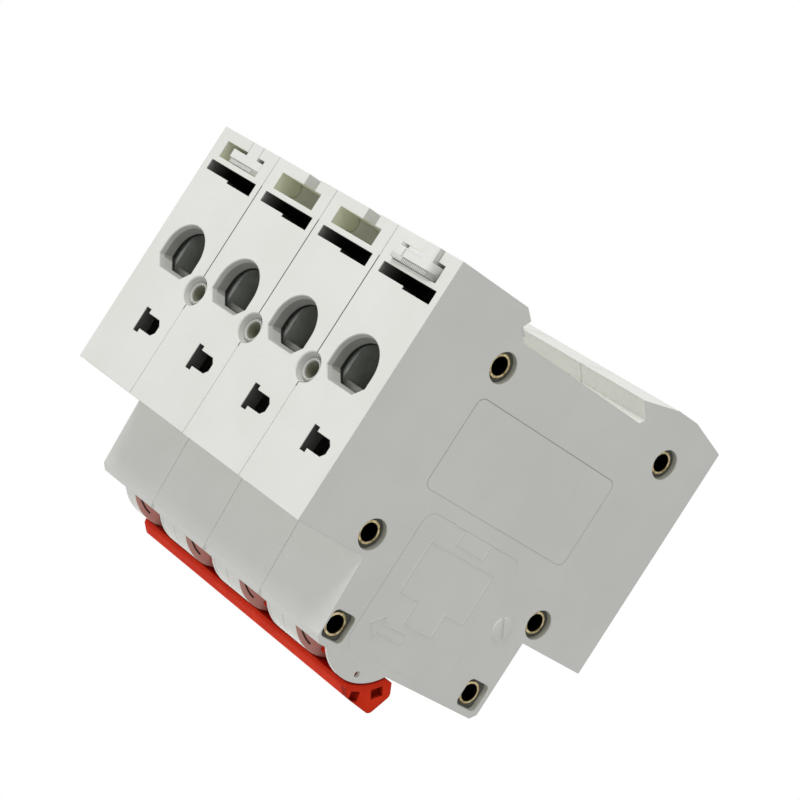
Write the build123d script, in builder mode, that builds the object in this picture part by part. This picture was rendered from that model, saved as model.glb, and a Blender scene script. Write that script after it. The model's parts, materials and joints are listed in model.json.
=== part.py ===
from build123d import *
from math import cos, radians, sin
import os

os.makedirs("parts", exist_ok=True)

# Four-pole DC miniature circuit breaker for a 35 mm rail, in millimetres.
# X runs across the poles, the front faces -Y and Z points up as mounted.
# The origin is the centre of the rail seat, on the floor of the rail notch.

# Modules side by side
pole_count = 4
module = 18.0
pole_gap = 0.1
side_wall = 2.0
cover_thick = 1.7
wall = 1.6

# Side profile
shoulder_wall = 6.85
nose_deep = 16.25
nose_half = 22.5
nose_draft = 1.0
nose_corner = 1.2
rear_low = 5.3
rear_high = 5.8
top_slope_start = 30.15
top_slope = 2.3

# Rail notch, for a rail 35 mm high and 1 mm thick
rail_height = 35.0
rail_thick = 1.0
rail_play = 0.5
hook_reach = 2.5
hook_tip = 3.8
hook_lead = 24.4
lip_tip = 3.7
lip_back = 1.3
lip_slope = 1.9
lip_lead = 21.65
undercut = 2.5

# Toggle, its boss on the nose and the bar that joins the four toggles
axis_setback = 6.9
axis_drop = 10.4
boss_radius = 10.4
boss_side = 4.2
cheek_side = 0.7
boss_wall = 0.8
cheek_clear = 0.3
hub_radius = 6.0
skirt_radius = 9.2
skirt_low_angle = 3.0
skirt_high_angle = 50.0
stub_radius = 1.5
stub_reach = 1.2
bearing_clear = 0.05
lever_thick = 3.2
lever_angle = 27.0
lever_reach = 13.6
lever_clear = 0.1
bar_gap = 0.4
bar_low_angle = 4.0
bar_high_angle = 48.0
bar_corner_radii = (11.6, 13.4, 16.8, 14.8, 12.3)
bar_corner_angles = (5.0, 12.0, 33.5, 50.0, 53.5)
bar_round = 1.2
bar_pocket_heights = (2.0, 2.4)
bar_pocket_angles = (17.5, 39.0)
bar_pocket_radius = 12.9
bar_pocket_long = 1.9
bar_pocket_deep = 1.4
tie_hole_radius = 0.6
tie_hole_ahead = 8.7
tie_hole_above = 1.65

# Hollow rivets through all poles, as (depth behind the front, height)
rivet_places = ((-5.3, -18.9), (-3.6, 28.7), (-39.9, -23.6), (-39.6, 23.4))
nose_rivet_setback = 4.0
nose_rivet_height = 18.7
nose_pocket = 5.4
rivet_radius = 1.9
rivet_bore = 1.45
rivet_clear = 0.05
rivet_head = 2.45
rivet_head_thick = 0.5
counterbore = 2.9
counterbore_depth = 1.2
post_wall = 0.5
nose_post_half = 2.4
post_clear = 0.1

# Clamp terminals
terminal_height = 31.6
end_wall = 3.0
partition = 1.6
partition_play = 2.1
bottom_play = 0.55
top_play = 1.0
terminal_rear = 10.9
cage_width = 11.0
cage_deep = 8.6
cage_wall = 1.3
cage_corner = 1.2
cage_rear = 11.5
cage_travel = 7.4
jaw_play = 0.5
tongue_thick = 1.4
tongue_width = 7.8
tongue_short = 0.5
nut_wall = 1.8
nut_gap = 2.4
screw_radius = 2.45
thread_clear = 0.05
screw_head = 3.4
screw_head_tall = 2.6
screw_play = 0.1
screw_hole = 3.1
slot_width = 0.9
slot_deep = 1.1

# Openings in the end faces
entry_half = 5.55
entry_rear = 12.6
entry_front = 22.4
entry_corner = 2.0
entry_inset = 0.75
vent_front = 3.0
vent_rear = 1.0
vent_half = 7.4
vent_step = 0.5
vent_deep = 12.0
key_rear = 29.5
key_front = 34.3
key_neck = 1.5
key_round = 6.0
key_lobe_inset = 0.8
key_lobe_corner = 0.9
link_recess = 2.9
link_floor = 2.3
link_hole = 1.6
link_place = 22.5
link_deep = 1.3
link_hole_deep = 5.0

# Rail clips in their channels
channel_half = 6.0
channel_deep = 3.2
channel_neck = 3.5
neck_side = 2.25
clip_play = 0.1
clip_thick = 2.5
clip_reach = 3.0
clip_overlap = 1.5
clip_notch = 2.5
clip_notch_tall = 7.0
clip_drops = {1: 1.0, pole_count: 0.0}
clip_ledge = 0.9
clip_ledge_deep = 0.4

# Contacts, coil and arc chute
arm_pivot_depth = 36.0
arm_pivot_height = 2.0
arm_thick = 3.0
arm_root = 2.4
arm_tail = 4.6
pivot_radius = 1.25
pivot_bearing = 1.0
contact_height = 15.5
contact_half = 1.9
contact_thick = 0.9
contact_margin = 0.4
coil_depth = 16.5
coil_height = 5.5
coil_radius = 5.2
coil_length = 13.0
flange_thick = 1.2
flange_half = 5.8
chute_front = 20.2
chute_rear = 9.4
chute_play = 1.0
chute_high = 8.0
chute_card = 0.8
chute_notch = 6.0
chute_notch_deep = 3.0
plate_count = 7
plate_thick = 0.8
bimetal_depth = 31.0
bimetal_thick = 0.9
bimetal_low = 6.0
bimetal_narrow = 1.0

# Sizes that follow from those above
seat_half = rail_height / 2 + rail_play
nose_bottom_front = nose_half - nose_draft
window_half = (boss_radius**2 - axis_setback**2) ** 0.5
window_low = -axis_drop - window_half
window_high = -axis_drop + window_half
post_half = counterbore + post_wall
tongue_rear = cage_rear + cage_wall + cage_travel + jaw_play
tongue_front = tongue_rear + tongue_thick
nut_rear = tongue_front + nut_gap
nut_front = nut_rear + nut_wall
screw_tip = tongue_front + screw_play
head_rear = nut_front + cage_travel + jaw_play
head_front = head_rear + screw_head_tall
chamber_front = head_front + screw_play
shoulder = chamber_front + shoulder_wall
nose_front = shoulder + nose_deep
axis_depth = nose_front - axis_setback
nose_rivet_depth = nose_front - nose_rivet_setback
bottom = terminal_height + cage_deep / 2 + bottom_play + end_wall
top = terminal_height + cage_deep / 2 + top_play + end_wall
partition_height = terminal_height - cage_deep / 2 - partition_play
chute_low = partition_height - partition - chute_play
nose_rivets = ((-nose_rivet_depth, -nose_rivet_height), (-nose_rivet_depth, nose_rivet_height))
all_rivets = rivet_places + nose_rivets


def pole_x(pole):
    """Centre of a pole across the row."""
    return (pole - (pole_count + 1) / 2) * module


def left_face(pole):
    return pole_x(pole) - module / 2 + pole_gap / 2


def right_face(pole):
    return pole_x(pole) + module / 2 - pole_gap / 2


def seam(pole):
    """Plane where the cover closes the base."""
    return right_face(pole) - cover_thick


def across(x):
    """Sketch plane of the side view at x, drawn as (depth, height) in Y and Z."""
    return Plane.YZ.offset(x)


def polar(radius, angle):
    """Point about the toggle axis, with the angle counted up from straight forward."""
    return (-axis_depth - radius * cos(radians(angle)), -axis_drop + radius * sin(radians(angle)))


def housing_face(x):
    """Side view of the housing with its rail notch."""
    with BuildSketch(across(x)) as face:
        with BuildLine():
            Polyline(
                (rear_low, -bottom),
                (rear_low, -lip_lead),
                (lip_tip, -seat_half - lip_back),
                (lip_tip - lip_slope, -seat_half - undercut),
                (0, -seat_half),
                (0, seat_half - rail_thick),
                (rail_thick + clip_play, seat_half),
                (hook_tip, seat_half - rail_play - hook_reach),
                (rear_high, hook_lead),
                (rear_high, top_slope_start),
                (rear_high - top_slope, top),
                (-shoulder, top),
                (-shoulder, nose_half),
                (-nose_front + nose_corner, nose_half),
                (-nose_front, nose_half - nose_corner),
                (-nose_front, -nose_bottom_front + nose_corner),
                (-nose_front + nose_corner, -nose_bottom_front),
                (-shoulder, -nose_half),
                (-shoulder, -bottom),
                close=True,
            )
        make_face()
    return face.sketch


def cavity_face(x):
    """Terminal chambers and mechanism chamber, less the posts round the rivets."""
    with BuildSketch(across(x)) as face:
        for end, limit in ((-1, bottom), (1, top)):
            low = end * partition_height
            high = end * (limit - end_wall)
            with Locations((-(terminal_rear + chamber_front) / 2, (low + high) / 2)):
                Rectangle(chamber_front - terminal_rear, abs(high - low))
        deep_half = partition_height - partition
        with Locations((-(shoulder + wall) / 2, 0)):
            Rectangle(shoulder - wall, 2 * deep_half)
        with Locations((-(nose_front + shoulder) / 2 + wall, 0)):
            Rectangle(nose_front - shoulder + wall, 2 * (nose_bottom_front - wall))
        for place in rivet_places:
            with Locations(place):
                Rectangle(2 * post_half, 2 * post_half, mode=Mode.SUBTRACT)
        for place in nose_rivets:
            with Locations(place):
                RegularPolygon(nose_post_half, 8, major_radius=False, mode=Mode.SUBTRACT)
    return face.sketch


def entry_face(pole, z, inset):
    """Wire entry: round towards the rail, flat with cut corners towards the front."""
    half = entry_half - inset
    middle = -entry_rear - entry_half
    front = -entry_front + inset
    with BuildSketch(Plane.XY.offset(z)) as face:
        with BuildLine():
            ThreePointArc(
                (pole_x(pole) - half, middle),
                (pole_x(pole), middle + half),
                (pole_x(pole) + half, middle),
            )
            Polyline(
                (pole_x(pole) + half, middle),
                (pole_x(pole) + half, front + entry_corner),
                (pole_x(pole) + half - entry_corner, front),
                (pole_x(pole) - half + entry_corner, front),
                (pole_x(pole) - half, front + entry_corner),
                (pole_x(pole) - half, middle),
            )
        make_face()
    return face.sketch


def key_face(pole, z):
    """Keyhole slot beside the wire entry: a narrow neck and a rounded lobe."""
    lobe = key_front - key_rear - 2 * key_lobe_inset
    with BuildSketch(Plane.XY.offset(z)) as face:
        with Locations((pole_x(pole) - key_neck / 2, -(key_rear + key_front) / 2)):
            Rectangle(key_neck, key_front - key_rear)
        with Locations((pole_x(pole) - key_round / 2, -(key_rear + key_front) / 2)):
            end = Rectangle(key_round, lobe)
        chamfer(end.vertices().group_by(Axis.X)[0], key_lobe_corner)
    return face.sketch


def rivet_holes(x):
    """Eight-sided passages of the rivets, hidden under their rims, through every pole."""
    with BuildSketch(across(x)) as face:
        with Locations(*all_rivets):
            RegularPolygon(rivet_radius + rivet_clear, 8, major_radius=False)
    return face.sketch


def head_seats(x):
    """Seats for the rivet heads on an outer side: round, and square at the nose."""
    with BuildSketch(across(x)) as face:
        with Locations(*rivet_places):
            Circle(counterbore)
        with Locations(*nose_rivets):
            RectangleRounded(nose_pocket, nose_pocket, nose_pocket / 5)
    return face.sketch


def link_disc(boundary, deep, radius):
    """Round section of the recess that two poles share in the bottom face."""
    with BuildSketch(Plane.XY.offset(-bottom + deep)) as face:
        with Locations((boundary, -link_place)):
            Circle(radius)
    return face.sketch


def pivot_face(x, clear):
    """Round of the contact arm's pivot, or with a clearance its bearing."""
    with BuildSketch(across(x)) as face:
        with Locations((-arm_pivot_depth, arm_pivot_height)):
            Circle(pivot_radius + clear)
    return face.sketch


def pole_boundaries(pole):
    """Places of the recesses that touch this pole."""
    places = []
    if pole > 1:
        places.append(pole_x(pole) - module / 2)
    if pole < pole_count:
        places.append(pole_x(pole) + module / 2)
    return places


def build_base(pole):
    """Deep half of a pole's housing, open towards its cover."""
    x = pole_x(pole)
    with BuildPart() as base:
        extrude(housing_face(left_face(pole)), seam(pole) - left_face(pole))
        with BuildSketch(across(left_face(pole))):
            with Locations((-axis_depth, -axis_drop)):
                Circle(boss_radius)
        extrude(amount=boss_wall)
        inside = left_face(pole) + side_wall
        extrude(cavity_face(inside), seam(pole) - inside, mode=Mode.SUBTRACT)
        # Window of the toggle through the front wall
        with BuildSketch(across(inside)):
            with Locations((-nose_front, (window_low + window_high) / 2)):
                Rectangle(4 * wall, window_high - window_low)
        extrude(amount=seam(pole) - inside, mode=Mode.SUBTRACT)
        # Blind bearing of the toggle and the small tie hole
        with BuildSketch(across(inside)):
            with Locations((-axis_depth, -axis_drop)):
                Circle(stub_radius + bearing_clear)
        extrude(amount=-stub_reach - bearing_clear, mode=Mode.SUBTRACT)
        extrude(pivot_face(inside, bearing_clear), -pivot_bearing, mode=Mode.SUBTRACT)
        if pole == 1:
            with BuildSketch(across(left_face(pole))):
                with Locations((-axis_depth - tie_hole_ahead, -axis_drop + tie_hole_above)):
                    Circle(tie_hole_radius)
            extrude(amount=side_wall, mode=Mode.SUBTRACT)
        # Wire entries, bottom and top
        for end, limit in ((-1, bottom), (1, top)):
            mouth = entry_face(pole, end * limit, 0)
            throat = entry_face(pole, end * (limit - end_wall), entry_inset)
            loft([mouth, throat], mode=Mode.SUBTRACT)
        # Screwdriver tunnels from the shoulders, narrower than the screw heads
        for end in (-1, 1):
            with BuildSketch(Plane.XZ.offset(shoulder)):
                with Locations((x, end * terminal_height)):
                    Circle(screw_hole)
            extrude(amount=chamber_front - shoulder, mode=Mode.SUBTRACT)
        # Slots of the tongues through the partitions
        for end in (-1, 1):
            with BuildSketch(Plane.XY.offset(end * (partition_height - partition / 2))):
                with Locations((x, -(tongue_rear + tongue_front) / 2)):
                    Rectangle(tongue_width, tongue_thick)
            extrude(amount=partition / 2, both=True, mode=Mode.SUBTRACT)
        # Vent slot and keyhole slot in the bottom face
        with BuildSketch(Plane.XY.offset(-bottom)):
            with Locations((x, -(vent_front + vent_rear) / 2)):
                Rectangle(2 * vent_half, vent_front - vent_rear)
            with Locations((x - vent_half / 2, -vent_front)):
                Rectangle(vent_half, 2 * vent_step)
        extrude(amount=vent_deep, mode=Mode.SUBTRACT)
        extrude(key_face(pole, -bottom), end_wall, mode=Mode.SUBTRACT)
        # Channel of the rail clip, open to the back through a neck
        with BuildSketch(Plane.XY.offset(-bottom)):
            with Locations((x, channel_deep / 2)):
                Rectangle(2 * channel_half, channel_deep)
            with Locations((x - neck_side, channel_deep + rear_low / 2)):
                Rectangle(channel_neck, rear_low)
        extrude(amount=bottom - seat_half, mode=Mode.SUBTRACT)
        for boundary in pole_boundaries(pole):
            rim = link_disc(boundary, 0, link_recess)
            floor = link_disc(boundary, link_deep, link_floor)
            loft([rim, floor], mode=Mode.SUBTRACT)
            extrude(link_disc(boundary, 0, link_hole), link_hole_deep, mode=Mode.SUBTRACT)
        extrude(rivet_holes(left_face(pole)), seam(pole) - left_face(pole), mode=Mode.SUBTRACT)
        if pole == 1:
            extrude(head_seats(left_face(pole)), counterbore_depth, mode=Mode.SUBTRACT)
    base.part.label = f"base_{pole}"
    export_step(base.part, f"parts/base_{pole}.step")


def build_cover(pole):
    """Flat half of a pole's housing, with the right cheek of the toggle."""
    x = pole_x(pole)
    thin = seam(pole) - x
    with BuildPart() as cover:
        add(extrude(housing_face(seam(pole)), cover_thick, mode=Mode.PRIVATE))
        # Cheek of the toggle and the post that carries it
        with BuildSketch(across(x + cheek_side)):
            with Locations((-axis_depth, -axis_drop)):
                Circle(boss_radius)
            with Locations((-axis_depth, window_low - boss_radius)):
                Rectangle(4 * boss_radius, 2 * boss_radius, mode=Mode.SUBTRACT)
            with Locations((-nose_rivet_depth, -nose_rivet_height)):
                RegularPolygon(
                    nose_post_half + post_clear, 8, major_radius=False, mode=Mode.SUBTRACT
                )
            with Locations((-nose_front + 2 * wall, window_high + boss_radius)):
                Rectangle(4 * boss_radius, 2 * boss_radius, mode=Mode.SUBTRACT)
        extrude(amount=boss_side - cheek_side)
        with BuildSketch(across(x + boss_side)):
            with Locations((-axis_depth, -axis_drop)):
                Circle(hub_radius)
            with Locations((-nose_front + wall / 2, (window_low + window_high) / 2)):
                Rectangle(wall, window_high - window_low)
        extrude(amount=thin - boss_side)
        # Lobe that closes the front between the cheek and the next pole
        if pole < pole_count:
            with BuildSketch(across(x + boss_side)):
                with Locations((-axis_depth, -axis_drop)):
                    Circle(boss_radius)
                with Locations((-nose_front - boss_radius, -axis_drop)):
                    Rectangle(2 * boss_radius, 2 * boss_radius, mode=Mode.INTERSECT)
            extrude(amount=right_face(pole) - x - boss_side)
        with BuildSketch(across(x + cheek_side)):
            with Locations((-axis_depth, -axis_drop)):
                Circle(stub_radius + bearing_clear)
        extrude(amount=stub_reach + bearing_clear, mode=Mode.SUBTRACT)
        extrude(pivot_face(seam(pole), bearing_clear), pivot_bearing, mode=Mode.SUBTRACT)
        for boundary in pole_boundaries(pole):
            rim = link_disc(boundary, 0, link_recess)
            floor = link_disc(boundary, link_deep, link_floor)
            loft([rim, floor], mode=Mode.SUBTRACT)
            extrude(link_disc(boundary, 0, link_hole), link_hole_deep, mode=Mode.SUBTRACT)
        extrude(rivet_holes(seam(pole)), cover_thick, mode=Mode.SUBTRACT)
        if pole == pole_count:
            extrude(head_seats(right_face(pole)), -counterbore_depth, mode=Mode.SUBTRACT)
    cover.part.label = f"cover_{pole}"
    export_step(cover.part, f"parts/cover_{pole}.step")


def lever_face(x, clear):
    """Blade of a toggle's lever, and with a clearance the slot that takes it."""
    length = lever_reach + clear - hub_radius / 2
    with BuildSketch(across(x)) as face:
        with Locations(Location(polar(hub_radius / 2 + length / 2, lever_angle), -lever_angle)):
            Rectangle(length, lever_thick + 2 * clear)
    return face.sketch


def build_toggle(pole):
    """Toggle of one pole: hub with stub shafts, skirt that fills the window, and lever."""
    start = left_face(pole) + side_wall + cheek_clear
    width = pole_x(pole) + cheek_side - cheek_clear - start
    with BuildPart() as toggle:
        with BuildSketch(across(start)):
            with Locations((-axis_depth, -axis_drop)):
                Circle(hub_radius)
            with BuildLine():
                ThreePointArc(
                    polar(skirt_radius, skirt_low_angle),
                    polar(skirt_radius, (skirt_low_angle + skirt_high_angle) / 2),
                    polar(skirt_radius, skirt_high_angle),
                )
                Polyline(
                    polar(skirt_radius, skirt_high_angle),
                    (-axis_depth, -axis_drop),
                    polar(skirt_radius, skirt_low_angle),
                )
            make_face()
        extrude(amount=width)
        extrude(lever_face(start, 0), width)
        with BuildSketch(across(start - cheek_clear - stub_reach)):
            with Locations((-axis_depth, -axis_drop)):
                Circle(stub_radius)
        extrude(amount=width + 2 * (cheek_clear + stub_reach))
    toggle.part.label = f"toggle_{pole}"
    export_step(toggle.part, f"parts/toggle_{pole}.step")


def build_bar():
    """Bar that joins the four levers, hollow at both ends."""
    start = left_face(1)
    length = pole_x(pole_count) + boss_side - start
    inner = boss_radius + bar_gap
    middle = (bar_low_angle + bar_high_angle) / 2
    low = polar(inner, bar_low_angle)
    high = polar(inner, bar_high_angle)
    corners = [polar(radius, angle) for radius, angle in zip(bar_corner_radii, bar_corner_angles)]
    with BuildPart() as bar:
        with BuildSketch(across(start)):
            with BuildLine():
                ThreePointArc(high, polar(inner, middle), low)
                Line(low, corners[0])
                FilletPolyline(*corners, radius=bar_round)
                Line(corners[-1], high)
            make_face()
        extrude(amount=length)
        for pole in range(1, pole_count + 1):
            lever_start = left_face(pole) + side_wall + cheek_clear
            lever_width = pole_x(pole) + cheek_side - cheek_clear - lever_start
            extrude(
                lever_face(lever_start - lever_clear, lever_clear),
                lever_width + 2 * lever_clear,
                mode=Mode.SUBTRACT,
            )
        # Moulded pockets in the two ends, with a rib between them
        for x, inward in ((start, 1), (start + length, -1)):
            with BuildSketch(across(x)):
                for angle, tall in zip(bar_pocket_angles, bar_pocket_heights):
                    with Locations(Location(polar(bar_pocket_radius, angle), -angle)):
                        Rectangle(bar_pocket_long, tall)
            extrude(amount=inward * bar_pocket_deep, mode=Mode.SUBTRACT)
    bar.part.label = "handle_bar"
    export_step(bar.part, "parts/handle_bar.step")


def build_rivets():
    """Hollow rivets, each rolled over into a flared rim at both ends."""
    start = left_face(1) + counterbore_depth
    end = right_face(pole_count) - counterbore_depth
    with BuildPart() as rivets:
        for depth, height in all_rivets:
            with BuildSketch(Plane.XY.offset(height)):
                with BuildLine():
                    Polyline(
                        (start, depth + rivet_radius),
                        (start, depth + rivet_head),
                        (start - rivet_head_thick, depth + rivet_bore),
                        (end + rivet_head_thick, depth + rivet_bore),
                        (end, depth + rivet_head),
                        (end, depth + rivet_radius),
                        close=True,
                    )
                make_face()
            revolve(axis=Axis((0, depth, height), (1, 0, 0)))
    rivets.part.label = "hollow_rivets"
    export_step(rivets.part, "parts/hollow_rivets.step")


def build_clip(pole):
    """Rail clip: a plate that slides in the channel, with a latch nose and a pull rib."""
    x = pole_x(pole)
    foot = -bottom - clip_drops[pole]
    head = -seat_half
    with BuildPart() as clip:
        with BuildSketch(Plane.XY.offset(foot)):
            with Locations((x, clip_play + clip_thick / 2)):
                Rectangle(2 * (channel_half - clip_play), clip_thick)
            with Locations((x - neck_side, (clip_thick + rear_low) / 2)):
                Rectangle(channel_neck - 2 * clip_play, rear_low - clip_thick)
        extrude(amount=head - foot - clip_drops[pole])
        # Latch nose behind the rail's lower edge
        nose_base = head - clip_drops[pole]
        with BuildSketch(across(x - channel_half + clip_play)):
            with BuildLine():
                Polyline(
                    (rail_thick + clip_play, nose_base - clip_overlap),
                    (clip_thick + clip_play, nose_base - clip_overlap),
                    (clip_thick + clip_play, nose_base + clip_reach / 2),
                    (rail_thick + 3 * clip_play, nose_base + clip_reach + rail_play),
                    (rail_thick + clip_play, nose_base + clip_reach + rail_play),
                    close=True,
                )
            make_face()
        extrude(amount=2 * (channel_half - clip_play))
        # Corner beside the pull rib, where a screwdriver levers the clip down
        with BuildSketch(Plane.XY.offset(foot)):
            with Locations((x + channel_half - clip_play - clip_notch / 2, clip_thick / 2)):
                Rectangle(clip_notch, 2 * clip_thick)
        extrude(amount=clip_notch_tall, mode=Mode.SUBTRACT)
        with BuildSketch(Plane.XY.offset(foot)):
            with Locations((x, clip_play + clip_ledge / 2)):
                Rectangle(2 * channel_half, clip_ledge)
        extrude(amount=clip_ledge_deep, mode=Mode.SUBTRACT)
    clip.part.label = f"rail_clip_{pole}"
    export_step(clip.part, f"parts/rail_clip_{pole}.step")


def build_cage(pole, end, name):
    """Clamp cage: a steel frame that the screw pulls towards its head."""
    x = pole_x(pole)
    outer = nut_front - cage_rear
    with BuildPart() as cage:
        with BuildSketch(Plane.XY.offset(end * terminal_height)):
            with Locations((x, -(cage_rear + nut_front) / 2)):
                frame = Rectangle(cage_width, outer)
            chamfer(frame.vertices(), cage_corner)
            with Locations((x, -(cage_rear + cage_wall + nut_rear) / 2)):
                Rectangle(
                    cage_width - 2 * cage_wall, nut_rear - cage_rear - cage_wall, mode=Mode.SUBTRACT
                )
        extrude(amount=cage_deep / 2, both=True)
        with BuildSketch(Plane.XZ.offset(nut_rear)):
            with Locations((x, end * terminal_height)):
                RegularPolygon(screw_radius + thread_clear, 8, major_radius=False)
        extrude(amount=nut_wall, mode=Mode.SUBTRACT)
    cage.part.label = name
    export_step(cage.part, f"parts/{name}.step")


def build_screw(pole, end, name):
    """Terminal screw with a slotted head, its tip on the tongue."""
    x = pole_x(pole)
    axis_height = end * terminal_height
    with BuildPart() as screw:
        with BuildSketch(Plane.XY.offset(axis_height)):
            with BuildLine():
                Polyline(
                    (x, -screw_tip),
                    (x + screw_radius, -screw_tip),
                    (x + screw_radius, -head_rear),
                    (x + screw_head, -head_rear),
                    (x + screw_head, -head_front),
                    (x, -head_front),
                    close=True,
                )
            make_face()
        revolve(axis=Axis((x, 0, axis_height), (0, 1, 0)))
        with BuildSketch(Plane.XZ.offset(head_front)):
            with Locations((x, axis_height)):
                Rectangle(2 * screw_head, slot_width)
        extrude(amount=-slot_deep, mode=Mode.SUBTRACT)
    screw.part.label = name
    export_step(screw.part, f"parts/{name}.step")


def build_fixed_contact(pole):
    """Lower tongue that runs up through the partition to the fixed contact."""
    x = pole_x(pole)
    low = -terminal_height - cage_deep / 2 + tongue_short
    high = -contact_height + contact_half + contact_margin
    with BuildPart() as strip:
        with BuildSketch(Plane.XY.offset(low)):
            with Locations((x, -(tongue_rear + tongue_front) / 2)):
                Rectangle(tongue_width, tongue_thick)
        extrude(amount=high - low)
        with BuildSketch(Plane.XZ.offset(tongue_front)):
            with Locations((x, -contact_height)):
                Rectangle(2 * contact_half, 2 * contact_half)
        extrude(amount=contact_thick)
    strip.part.label = f"fixed_contact_{pole}"
    export_step(strip.part, f"parts/fixed_contact_{pole}.step")


def build_contact_arm(pole):
    """Moving contact arm on its pivot, closed against the fixed contact."""
    x = pole_x(pole)
    tip = tongue_front + contact_thick + screw_play
    back = -tip - contact_thick
    foot = -contact_height - contact_half
    inside = left_face(pole) + side_wall
    play = pivot_bearing - bearing_clear
    with BuildPart() as arm:
        with BuildSketch(across(x - arm_thick / 2)):
            with BuildLine():
                Polyline(
                    (-arm_pivot_depth - arm_root, arm_pivot_height + arm_tail),
                    (-arm_pivot_depth + arm_root, arm_pivot_height + arm_tail),
                    (-arm_pivot_depth + arm_root, arm_pivot_height),
                    (back, -contact_height + arm_tail),
                    (back, foot),
                    (back - arm_root, foot),
                    (back - arm_root, -contact_height + arm_root),
                    (-arm_pivot_depth - arm_root, arm_pivot_height - arm_root),
                    close=True,
                )
            make_face()
        extrude(amount=arm_thick)
        extrude(pivot_face(inside - play, 0), seam(pole) - inside + 2 * play)
        with BuildSketch(Plane.XZ.offset(tip)):
            with Locations((x, -contact_height)):
                Rectangle(arm_thick, 2 * contact_half)
        extrude(amount=contact_thick)
    arm.part.label = f"contact_arm_{pole}"
    export_step(arm.part, f"parts/contact_arm_{pole}.step")


def build_coil(pole):
    """Magnetic trip coil: its winding between square flanges that span the chamber."""
    inside = left_face(pole) + side_wall
    rear = coil_depth - coil_length / 2
    with BuildPart() as coil:
        for depth in (rear, rear + coil_length - flange_thick):
            with BuildSketch(Plane.XZ.offset(depth)):
                with Locations(((inside + seam(pole)) / 2, coil_height)):
                    Rectangle(seam(pole) - inside, 2 * flange_half)
            extrude(amount=flange_thick)
        with BuildSketch(Plane.XZ.offset(rear + flange_thick)):
            with Locations((pole_x(pole), coil_height)):
                Circle(coil_radius)
        extrude(amount=coil_length - 2 * flange_thick)
    coil.part.label = f"trip_coil_{pole}"
    export_step(coil.part, f"parts/trip_coil_{pole}.step")


def build_chute(pole):
    """Arc chute: steel splitter plates between two side cards, across the whole chamber."""
    inside = left_face(pole) + side_wall
    middle = (inside + seam(pole)) / 2
    tall = chute_low - chute_high
    pitch = (tall - plate_thick) / (plate_count - 1)
    with BuildPart() as chute:
        for plate in range(plate_count):
            with BuildSketch(Plane.XY.offset(-chute_low + plate * pitch)):
                with Locations((middle, -(chute_front + chute_rear) / 2)):
                    Rectangle(seam(pole) - inside - 2 * chute_card, chute_front - chute_rear)
                with Locations((middle, -chute_front)):
                    Rectangle(chute_notch, 2 * chute_notch_deep, mode=Mode.SUBTRACT)
            extrude(amount=plate_thick)
        for x, inward in ((inside, 1), (seam(pole), -1)):
            with BuildSketch(across(x)):
                with Locations((-(chute_front + chute_rear) / 2, -(chute_low + chute_high) / 2)):
                    Rectangle(chute_front - chute_rear, tall)
            extrude(amount=inward * chute_card)
    chute.part.label = f"arc_chute_{pole}"
    export_step(chute.part, f"parts/arc_chute_{pole}.step")


def build_bimetal(pole):
    """Upper tongue with the bimetal strip that hangs from it."""
    x = pole_x(pole)
    high = terminal_height + cage_deep / 2 - tongue_short
    foot = partition_height - partition - tongue_thick
    with BuildPart() as strip:
        with BuildSketch(Plane.XY.offset(foot)):
            with Locations((x, -(tongue_rear + tongue_front) / 2)):
                Rectangle(tongue_width, tongue_thick)
        extrude(amount=high - foot)
        with BuildSketch(Plane.XY.offset(foot)):
            with Locations((x, -(tongue_front + bimetal_depth) / 2)):
                Rectangle(tongue_width - 2 * bimetal_narrow, bimetal_depth - tongue_front)
        extrude(amount=tongue_thick)
        with BuildSketch(Plane.XY.offset(bimetal_low)):
            with Locations((x, -bimetal_depth + bimetal_thick / 2)):
                Rectangle(tongue_width - 2 * bimetal_narrow, bimetal_thick)
        extrude(amount=foot - bimetal_low)
    strip.part.label = f"bimetal_{pole}"
    export_step(strip.part, f"parts/bimetal_{pole}.step")


for pole in range(1, pole_count + 1):
    build_base(pole)
    build_cover(pole)
    build_toggle(pole)
    build_cage(pole, -1, f"lower_cage_{pole}")
    build_cage(pole, 1, f"upper_cage_{pole}")
    build_screw(pole, -1, f"lower_screw_{pole}")
    build_screw(pole, 1, f"upper_screw_{pole}")
    build_fixed_contact(pole)
    build_contact_arm(pole)
    build_coil(pole)
    build_chute(pole)
    build_bimetal(pole)
build_bar()
build_rivets()
for pole in clip_drops:
    build_clip(pole)
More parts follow.
